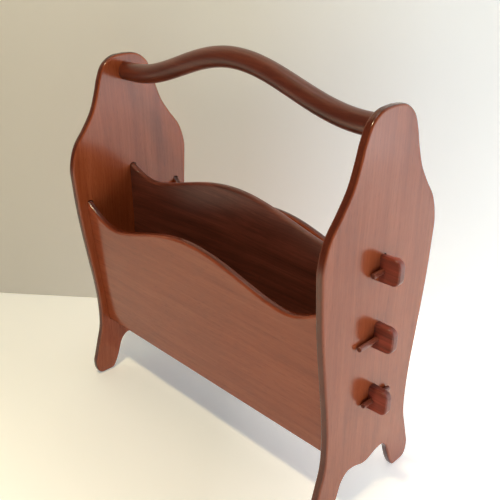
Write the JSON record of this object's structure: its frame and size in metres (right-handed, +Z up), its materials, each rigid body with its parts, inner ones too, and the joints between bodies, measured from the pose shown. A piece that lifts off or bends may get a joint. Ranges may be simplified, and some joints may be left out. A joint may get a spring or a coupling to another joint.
{
  "type": "magazine rack",
  "caption": "Knock-down wooden magazine rack: shaped end boards, leaning side panels, a divider with pegged through tenons, a floor board and an arched carrying handle.",
  "frame": {"origin": "on the ground, at the centre of the rack's footprint", "axes": "+X along the rack from the left end board to the right, +Y from the front panel to the back panel, +Z up"},
  "size_m": [0.5, 0.1978, 0.5105],
  "materials": {
    "board_wood": "red-brown hardwood, grain upright, satin clear lacquer",
    "panel_wood": "red-brown hardwood, grain along the rack, satin clear lacquer",
    "divider_wood": "dark red-brown hardwood, grain along the rack, satin clear lacquer",
    "handle_wood": "darker red-brown hardwood, grain along the handle, satin clear lacquer",
    "peg_wood": "red-brown hardwood dowel, satin clear lacquer"
  },
  "bodies": {
    "rack": {"end_board_right": "board_wood", "end_board_left": "board_wood", "front_panel": "panel_wood", "back_panel": "panel_wood", "divider": "divider_wood", "floor_board": "panel_wood", "handle": "handle_wood"},
    "peg_right_top": {"peg_right_top": "peg_wood"},
    "peg_right_middle": {"peg_right_middle": "peg_wood"},
    "peg_right_bottom": {"peg_right_bottom": "peg_wood"},
    "peg_left_top": {"peg_left_top": "peg_wood"},
    "peg_left_middle": {"peg_left_middle": "peg_wood"},
    "peg_left_bottom": {"peg_left_bottom": "peg_wood"}
  },
  "joints": [
    {"name": "peg_right_top_slide", "type": "slide", "parent": "rack", "child": "peg_right_top", "axis": [0, 1, 0], "range_m": [-0.0345, 0.0135]},
    {"name": "peg_right_middle_slide", "type": "slide", "parent": "rack", "child": "peg_right_middle", "axis": [0, 1, 0], "range_m": [-0.02, 0.028]},
    {"name": "peg_right_bottom_slide", "type": "slide", "parent": "rack", "child": "peg_right_bottom", "axis": [0, 1, 0], "range_m": [-0.036, 0.012]},
    {"name": "peg_left_top_slide", "type": "slide", "parent": "rack", "child": "peg_left_top", "axis": [0, 1, 0], "range_m": [-0.029, 0.019]},
    {"name": "peg_left_middle_slide", "type": "slide", "parent": "rack", "child": "peg_left_middle", "axis": [0, 1, 0], "range_m": [-0.0375, 0.0105]},
    {"name": "peg_left_bottom_slide", "type": "slide", "parent": "rack", "child": "peg_left_bottom", "axis": [0, 1, 0], "range_m": [-0.025, 0.023]}
  ]
}
